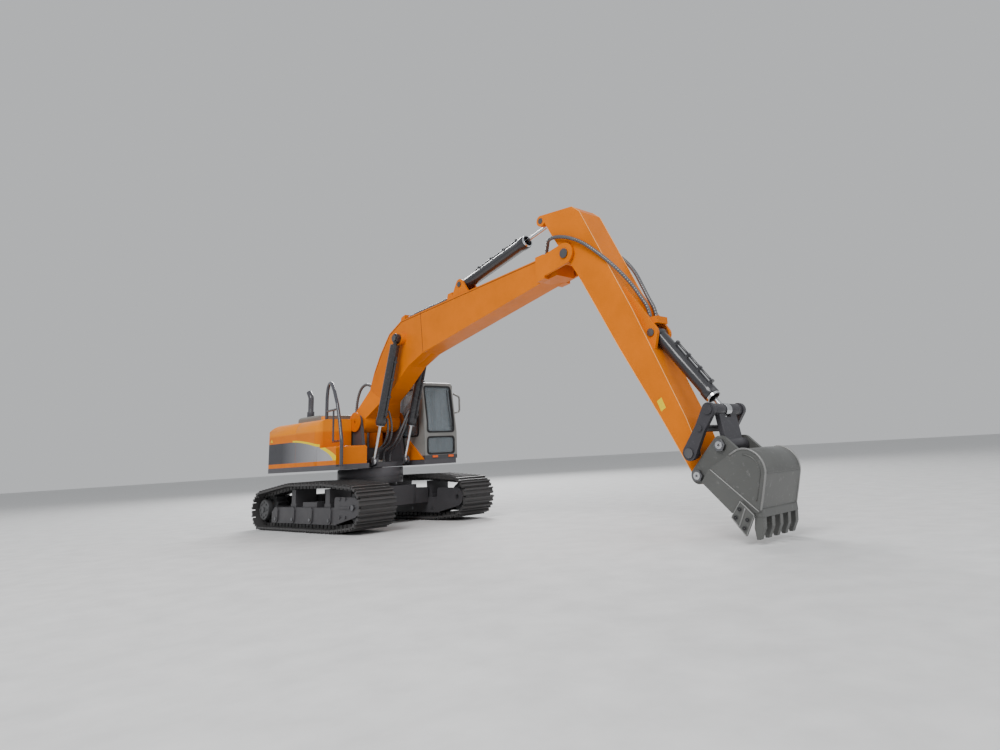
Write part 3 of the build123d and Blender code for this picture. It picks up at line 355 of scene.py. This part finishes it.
def smooth_line(points):
    """Points along the smooth curve that a route's points pull."""
    curve = bpy.data.curves.new("route", "CURVE")
    curve.dimensions = "3D"
    curve.resolution_u = 24
    spline = curve.splines.new("NURBS")
    spline.points.add(len(points) - 1)
    for point, place in zip(spline.points, points):
        point.co = (*place, 1)
    spline.order_u = 3
    spline.use_endpoint_u = True
    holder = bpy.data.objects.new("route", curve)
    scene.collection.objects.link(holder)
    mesh = bpy.data.meshes.new_from_object(holder)
    line = [vertex.co.copy() for vertex in mesh.vertices]
    bpy.data.objects.remove(holder)
    return line


def even_points(line, step):
    """The line as evenly spaced points, with its true ends."""
    length = sum((b - a).length for a, b in zip(line, line[1:]))
    count = max(2, round(length / step))
    gap = length / count
    points, travelled, target = [line[0]], 0.0, gap
    for a, b in zip(line, line[1:]):
        run = (b - a).length
        while travelled + run >= target - 1e-9 and len(points) < count:
            points.append(a.lerp(b, (target - travelled) / run))
            target += gap
        travelled += run
    return points + [line[-1]], length


def tube(name, line, radius, ribs=0.0):
    """A mesh tube along the line; every third ring is drawn in by ribs."""
    sides = 16
    mesh = bmesh.new()
    rings = []
    side = None
    for i, point in enumerate(line):
        ahead = line[min(i + 1, len(line) - 1)] - line[max(i - 1, 0)]
        ahead.normalize()
        if side is None:
            side = ahead.orthogonal().normalized()
        side = (side - ahead * side.dot(ahead)).normalized()
        other = ahead.cross(side)
        size = radius - (ribs if i % 3 == 0 else 0.0)
        loop = []
        for k in range(sides):
            turn = math.tau * k / sides
            around = side * math.cos(turn) + other * math.sin(turn)
            loop.append(mesh.verts.new(point + around * size))
        rings.append(loop)
    for near, far in zip(rings, rings[1:]):
        for k in range(sides):
            mesh.faces.new((near[k], near[(k + 1) % sides], far[(k + 1) % sides], far[k]))
    mesh.faces.new(list(reversed(rings[0])))
    mesh.faces.new(rings[-1])
    return finished(name, mesh, smooth=True)


def finished(name, mesh, smooth=False):
    """Turns a bmesh into an object of the scene."""
    data = bpy.data.meshes.new(name)
    mesh.to_mesh(data)
    mesh.free()
    if smooth:
        data.shade_smooth()
    piece = bpy.data.objects.new(name, data)
    scene.collection.objects.link(piece)
    return piece


def make_hose(name, route, diameter, node, material, bodies=()):
    """A ribbed hose, right-hand and left-hand; one between two bodies is left unparented in place, one
    on a single body is attached to it.
    """
    for side, word in ((1, "right"), (-1, "left")):
        places = [Vector((x, side * y, z)) * MM for x, y, z in route]
        points, length = even_points(smooth_line(places), RIB_STEP)
        piece = tube(f"{name}_{word}", points, diameter * MM / 2, RIB_DEPTH)
        piece.data.materials.append(material)
        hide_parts(node)
        if len(bodies) == 2:
            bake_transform(piece)
        else:
            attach(piece, bodies[0])


def make_hoses(rubber):
    make_hose("rear_hose", REAR_HOSE, HOSE, "house_hoses", rubber, ("house", "boom"))
    make_hose("lower_hose", LOWER_HOSE, THIN_HOSE, "house_hoses", rubber, ("house", "boom"))
    make_hose("inner_hose", INNER_HOSE, THIN_HOSE, "house_hoses", rubber, ("house", "boom"))
    make_hose("top_hose", TOP_HOSE, HOSE, "boom_hoses", rubber, ("boom",))
    make_hose("arm_hose", ARM_HOSE, HOSE, "boom_hoses", rubber, ("boom", "arm"))


# ------------------------------------------------------------ small parts
def extruded(name, outline, low, high, axis="Y", bevel=0.0003):
    """A plate from low to high along axis, its outline drawn in the other two; bevel is in metres."""
    mesh = bmesh.new()
    loops = []
    for depth in (low, high):
        loop = []
        for a, b in outline:
            place = {"X": (depth, a, b), "Y": (a, depth, b), "Z": (a, b, depth)}[axis]
            loop.append(mesh.verts.new(Vector(place) * MM))
        loops.append(loop)
    mesh.faces.new(loops[0])
    mesh.faces.new(loops[1])
    count = len(outline)
    for k in range(count):
        mesh.faces.new((loops[0][k], loops[0][(k + 1) % count],
                        loops[1][(k + 1) % count], loops[1][k]))
    bmesh.ops.recalc_face_normals(mesh, faces=mesh.faces)
    piece = finished(name, mesh)
    softened(piece, bevel)
    return piece


def softened(piece, width):
    """Rounds a piece's sharp edges; width is in metres."""
    bevel = piece.modifiers.new("edges", "BEVEL")
    bevel.width = width
    bevel.segments = 2
    bevel.limit_method = "ANGLE"
    bevel.angle_limit = math.radians(40)


def mount(piece, body, material):
    """Puts a small part on its body, in its material."""
    piece.data.materials.append(material)
    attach(piece, body)


def bead(name, points, radius):
    """A round bead or wire through points in mm, made as a tube."""
    line, _ = even_points([Vector(point) * MM for point in points], 3 * radius * MM)
    return tube(name, line, radius * MM)


def rounded_loop(low, high, radius):
    """A rectangle's outline with rounded corners, with points along its long sides too."""
    steps, spacing = 5, 9
    centres = ((high[0] - radius, high[1] - radius, 0), (low[0] + radius, high[1] - radius, 90),
               (low[0] + radius, low[1] + radius, 180), (high[0] - radius, low[1] + radius, 270))
    loop = []
    for x, y, start in centres:
        for k in range(steps + 1):
            turn = math.radians(start + 90 * k / steps)
            loop.append((x + radius * math.cos(turn), y + radius * math.sin(turn)))
    dense = []
    for a, b in zip(loop, loop[1:] + loop[:1]):
        parts = max(1, int(math.dist(a, b) / spacing))
        for k in range(parts):
            dense.append((a[0] + (b[0] - a[0]) * k / parts, a[1] + (b[1] - a[1]) * k / parts))
    return dense


def gasket(name, low, high, place, border=1.8, rise=0.6):
    """A rubber frame round a window; place turns (across, up, rise) into a point in mm."""
    outline = rounded_loop(low, high, 4.0)
    middle = [(a + b) / 2 for a, b in zip(low, high)]
    half = [(b - a) / 2 for a, b in zip(low, high)]
    mesh = bmesh.new()
    rings = []
    for spread, height in ((-0.3, -0.6), (-0.3, rise), (border, rise), (border, -0.2)):
        loop = []
        for point in outline:
            across, up = (m + (v - m) * (1 + spread / h) for v, m, h in zip(point, middle, half))
            loop.append(mesh.verts.new(Vector(place(across, up, height)) * MM))
        rings.append(loop)
    for near, far in zip(rings, rings[1:] + rings[:1]):
        for k in range(len(outline)):
            following = (k + 1) % len(outline)
            mesh.faces.new((near[k], near[following], far[following], far[k]))
    bmesh.ops.recalc_face_normals(mesh, faces=mesh.faces)
    return finished(name, mesh)


CAB_LOW, CAB_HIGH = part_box("cab_shell")
CAB_FRONT, CAB_REAR, CAB_TOP = CAB_HIGH[0] / MM, CAB_LOW[0] / MM, CAB_HIGH[2] / MM
CAB_RIGHT, CAB_LEFT = CAB_LOW[1] / MM, 89.0
RAKE_FROM, RAKE = 124.0, 8.0    # the front leans back by RAKE above this height


# Each of these four turns a place on a cab wall, and its rise above the wall, into a point.
def on_front(y, z, rise):
    lean = RAKE * max(0.0, z - RAKE_FROM) / (CAB_TOP - RAKE_FROM)
    return CAB_FRONT - lean + rise, y, z


def on_right(x, z, rise):
    return x, CAB_RIGHT - rise, z


def on_left(x, z, rise):
    return x, CAB_LEFT + rise, z


def on_rear(y, z, rise):
    return CAB_REAR - rise, y, z


def make_gaskets(materials):
    windows = (
        ("windscreen", (41, 112), (83, 171), on_front),
        ("lower_screen", (41, 84), (83, 104), on_front),
        ("side_window", (12, 108), (56, 168), on_right),
        ("door_window", (24, 104), (60, 170), on_left),
        ("quarter_window", (-5, 116), (16, 168), on_left),
        ("rear_window", (46, 124), (79, 168), on_rear),
    )
    for name, low, high, place in windows:
        piece = gasket(f"{name}_gasket", low, high, place)
        mount(piece, "house", materials["gasket"])


def make_wiper(materials):
    arm = [on_front(79, 113, 1.4), on_front(80.5, 124, 1.6), on_front(80, 166, 1.6)]
    blade = [on_front(77, 118, 1.2), on_front(77, 124, 1.2), on_front(77, 168, 1.2)]
    mount(bead("wiper_arm", arm, 0.6), "house", materials["gasket"])
    mount(bead("wiper_blade", blade, 0.45), "house", materials["gasket"])


def make_cab_panels(materials):
    """The lamps in the cab's foot, the fender beside it and the roof panel."""
    for y in (48, 74):
        outline = ((y, 78.2), (y + 8, 78.2), (y + 8, 81), (y, 81))
        lamp = extruded(f"cab_lamp_{y}", outline, CAB_FRONT - 0.5, CAB_FRONT + 1.2, "X")
        mount(lamp, "house", materials["lamp"])
    fender = extruded("fender", ((36, 76.5), (70, 76.5), (62, 83), (36, 104)), 33.4, 36)
    mount(fender, "house", materials["orange"])
    roof = extruded("roof_panel", ((0, 43), (50, 43), (50, 82), (0, 82)),
                    CAB_TOP - 0.5, CAB_TOP + 1.0, "Z", 0.0008)
    mount(roof, "house", materials["cab"])


def make_door_details(materials):
    """The handle and the gaps of the door, which is moulded in one with the cab."""
    handle = bead("door_handle", [on_left(56, 92, 0), on_left(56, 92, 2.6), on_left(46, 92, 2.6),
                                  on_left(46, 92, 0)], 0.8)
    mount(handle, "house", materials["black"])
    rear, front, top = 20, 64, 174
    gaps = (
        ("door_front_gap", ((front, 79), (front, 100), (front - 2, top))),
        ("door_rear_gap", ((rear, 79), (rear, top))),
        ("door_top_gap", ((rear, top), (front - 2, top))),
    )
    for name, route in gaps:
        line = bead(name, [on_left(x, z, 0) for x, z in route], 0.35)
        mount(line, "house", materials["gasket"])


def make_lever_knobs(materials):
    for x, y in ((36, 46), (36, 82)):
        mesh = bmesh.new()
        bmesh.ops.create_uvsphere(mesh, u_segments=16, v_segments=10, radius=2.2 * MM)
        bmesh.ops.scale(mesh, vec=(1, 1, 1.5), verts=mesh.verts)
        bmesh.ops.translate(mesh, vec=Vector((x, y, 114)) * MM, verts=mesh.verts)
        knob = finished(f"lever_knob_{y}", mesh, smooth=True)
        mount(knob, "house", materials["black"])


def make_boom_details(materials):
    """Dark seams across and along the boom's sides, and the round cheeks of its foot."""
    foot, half_width = (15, 0, 128.6), 13.5
    for side, word in ((-1, "right"), (1, "left")):
        low, high = sorted((side * 32.5, side * 33.7))
        cheek = ring(f"boom_foot_cheek_{word}", foot, low, high, 12.5, 1.6)
        mount(cheek, "boom", materials["orange"])
        seams = (
            ("boom_seam_rear", ((136, 204.5), (131.5, 254.5))),
            ("boom_seam_front", ((343, 249.5), (343, 274))),
            ("boom_seam_top", ((30.6, 191.5), (44, 211.6), (64.2, 236.2), (90.6, 249.6), (364, 275.1))),
        )
        for name, route in seams:
            line = bead(f"{name}_{word}", [(x, side * half_width, z) for x, z in route], 0.4)
            mount(line, "boom", materials["seam"])


def make_arm_details(materials):
    """Painted highlights as light lines along the arm's edges, and a plain yellow mark."""
    lines = (
        ("front", ((394, 318), (404, 310), (459, 199), (505, 97), (519, 57))),
        ("rear", ((508, 48), (481, 97), (440.6, 165.6), (400, 239))),
    )
    half_width = 16.45
    for side, word in ((-1, "right"), (1, "left")):
        for place, route in lines:
            corners_of_side = [(x, side * half_width, z) for x, z in route]
            # Painted highlights: light beads along the arm's edges stand in for the highlights on its
            # bevels.
            line = bead(f"arm_{place}_line_{word}", corners_of_side, 0.32)
            mount(line, "arm", materials["orange_highlight"])
    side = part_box("arm_shell_right")[0][1] / MM
    sticker = extruded("arm_label", ((477.1, 113.1), (482.2, 116.1), (485.9, 106.9), (480.8, 103.9)),
                       side - 0.15, side + 0.2, bevel=0.00005)
    mount(sticker, "arm", materials["yellow"])


def make_hood_label(materials):
    """A plain yellow mark on the hood's right side."""
    mark = extruded("hood_label", ((-119, 110.5), (-112, 110.5), (-115.5, 114.5)), -81.7, -81.3,
                    bevel=0.00005)
    mount(mark, "house", materials["yellow"])


def ring(name, centre, low, high, outer, inner, towards=(0, 1, 0)):
    """A flat ring round an axis, from low to high along it; centre is in mm."""
    axis = Vector(towards).normalized()
    across = axis.orthogonal().normalized()
    other = axis.cross(across)
    sides = 36
    mesh = bmesh.new()
    loops = []
    for radius, depth in ((inner, low), (inner, high), (outer, high), (outer, low)):
        loop = []
        for k in range(sides):
            turn = math.tau * k / sides
            place = Vector(centre) + axis * depth
            place += (across * math.cos(turn) + other * math.sin(turn)) * radius
            loop.append(mesh.verts.new(place * MM))
        loops.append(loop)
    for near, far in zip(loops, loops[1:] + loops[:1]):
        for k in range(sides):
            mesh.faces.new((near[k], near[(k + 1) % sides], far[(k + 1) % sides], far[k]))
    bmesh.ops.recalc_face_normals(mesh, faces=mesh.faces)
    return finished(name, mesh)


BUCKET_BEND = [(560.4 + 17 * math.cos(math.radians(a)), 52.5 + 17 * math.sin(math.radians(a)))
               for a in range(90, -10, -12)] + [(573.5, 36.5), (569.8, 24)]


def make_bucket_details(materials):
    """Rims, ridges and seams of the bucket, and the studs and groove of its side cutters; the light
    beads on the rims, on the line across each side and round the cutters are painted highlights.
    """
    edge = materials["edge"]
    cutter = ((555, 31), (546.2, 19.5), (556.9, 6.2), (565.2, 21), (555, 31))
    middle = (560.2, 52)
    for side, word in ((-1, "right"), (1, "left")):
        y = side * 29.7
        rim = [(x, y, z) for x, z in [(549, 65.3), (556, 68.9)] + BUCKET_BEND]
        # The rim bead is real; its light colour is a painted highlight.
        mount(bead(f"bucket_rim_{word}", rim, 0.8), "bucket", edge)
        ridge = [(middle[0] + 0.74 * (x - middle[0]), y, middle[1] + 0.74 * (z - middle[1]))
                 for x, z in BUCKET_BEND]
        mount(bead(f"bucket_ridge_{word}", ridge, 0.5), "bucket", materials["bucket"])
        # A light bead across the side, where it meets the cutter strip: a painted highlight line.
        strip = ((530.5, side * 29.95, 55), (568.5, side * 29.95, 23.4))
        mount(bead(f"bucket_highlight_line_{word}", strip, 0.5), "bucket", edge)
        # The light beads round each cutter and along its rib are painted highlights.
        outline = [(x, side * 32.1, z) for x, z in cutter]
        mount(bead(f"cutter_edge_{word}", outline, 0.45), "bucket", edge)
        groove = ((558.6, side * 32.1, 26.2), (551.8, side * 32.1, 12.6))
        mount(bead(f"cutter_rib_{word}", groove, 0.65), "bucket", edge)
        for number, (x, z) in enumerate(((554, 25.5), (550, 19.5), (559.5, 18), (556.3, 12))):
            low, high = sorted((side * 32.9, side * 33.3))
            stud = ring(f"cutter_bolt_{word}_{number}", (x, 0, z), low, high, 1.5, 0.4)
            mount(stud, "bucket", materials["black"])
        low, high = sorted((side * 23.3, side * 23.9))
        for pin, body, x, z in (("link_bolt", "bucket", 537, 73), ("bucket_pin", "arm", 514, 50)):
            collar = ring(f"{pin}_ring_{word}", (x, 0, z), low, high, 3.0, 1.1)
            mount(collar, body, materials["steel"])
    for number, (x, z) in enumerate(((577.5, 51), (569.7, 24.4))):
        seam = ((x, -29, z), (x, 29, z))
        mount(bead(f"bucket_seam_{number}", seam, 0.45), "bucket", materials["bucket"])


def make_glands(materials):
    """A bright wiper ring in the mouth of each cylinder."""
    glands = (
        ("boom_barrel_right", (94, -23.5, 227), (43.7, -23.5, 77.6), 111, 5.7, 4.7),
        ("boom_barrel_left", (94, 23.5, 227), (43.7, 23.5, 77.6), 111, 5.7, 4.7),
        ("arm_barrel", (204, 0, 276.5), (349.5, 0, 314.5), 112, 6.9, 5.8),
        ("bucket_barrel", (474, 0, 175), (532.5, 0, 101.5), 80, 6.5, 5.5),
    )
    for body, base, tip, length, outer, inner in glands:
        towards = Vector(tip) - Vector(base)
        gland = ring(f"{body}_gland", base, length - 1.5, length + 0.5, outer, inner, towards)
        mount(gland, body, materials["steel"])


TRACK_CENTRE, TRACK_HALF = 73.5, 20     # a track's middle, and half the band's width
# The pitch line of each track runs round these circles: x, z and radius in mm.
BELT = ((-108.5, 24.5, 19.5), (-36, 46.5, 6), (47, 46.5, 6), (109, 28.5, 19.5), (66, 17, 12))


def make_track_bands(materials):
    """The band inside each track that closes the gaps between its shoes."""
    steps = 180
    for side, word in ((-1, "right"), (1, "left")):
        mesh = bmesh.new()
        loops = []
        for rise, half in ((1.2, TRACK_HALF), (1.2, -TRACK_HALF), (2.2, -TRACK_HALF),
                           (2.2, TRACK_HALF)):
            loop = []
            for k in range(steps):
                turn = math.tau * k / steps
                ahead = (math.cos(turn), math.sin(turn))
                x, z, radius = max(BELT, key=lambda c: c[0] * ahead[0] + c[1] * ahead[1] + c[2])
                reach = radius + rise
                place = Vector((x + reach * ahead[0], side * TRACK_CENTRE + half, z + reach * ahead[1]))
                loop.append(mesh.verts.new(place * MM))
            loops.append(loop)
        for near, far in zip(loops, loops[1:] + loops[:1]):
            for k in range(steps):
                mesh.faces.new((near[k], near[(k + 1) % steps], far[(k + 1) % steps], far[k]))
        bmesh.ops.recalc_face_normals(mesh, faces=mesh.faces)
        band = finished(f"track_band_{word}", mesh)
        mount(band, "chassis", materials["track"])


# ------------------------------------------------------------ light and floor
def area_light(name, place, aim, size, power, colour=(1, 1, 1)):
    data = bpy.data.lights.new(name, "AREA")
    data.size = size
    data.energy = power
    data.color = colour
    light = bpy.data.objects.new(name, data)
    light.location = place
    light.rotation_euler = (Vector(aim) - Vector(place)).to_track_quat("-Z", "Y").to_euler()
    scene.collection.objects.link(light)


def make_studio():
    world = bpy.data.worlds.new("studio")
    world.use_nodes = True
    background = world.node_tree.nodes["Background"]
    background.inputs["Color"].default_value = (0.86, 0.88, 0.9, 1)
    background.inputs["Strength"].default_value = 0.66
    scene.world = world
    area_light("key", (0.75, -1.25, 1.35), (0.2, 0, 0.13), 0.9, 27)
    area_light("fill", (1.5, 0.1, 0.7), (0.3, 0, 0.13), 1.2, 5)
    area_light("rim", (-0.9, 0.9, 1.1), (0.1, 0, 0.15), 0.8, 26)
    mesh = bmesh.new()
    reach = 9.0
    rows = [mesh.verts.new((x, y, -0.0002)) for x, y in
            ((-reach, -reach), (reach, -reach), (reach, reach), (-reach, reach))]
    mesh.faces.new(rows)
    floor = finished("floor", mesh)
    floor.data.materials.append(plastic("floor_paper", (0.64, 0.64, 0.64), 0.7, 300.0))


make_camera()
materials = make_materials()
dress_nodes(materials)
make_hoses(materials["rubber"])
make_gaskets(materials)
make_wiper(materials)
make_cab_panels(materials)
make_door_details(materials)
make_lever_knobs(materials)
make_hood_label(materials)
make_boom_details(materials)
make_arm_details(materials)
make_bucket_details(materials)
make_glands(materials)
make_track_bands(materials)
make_studio()
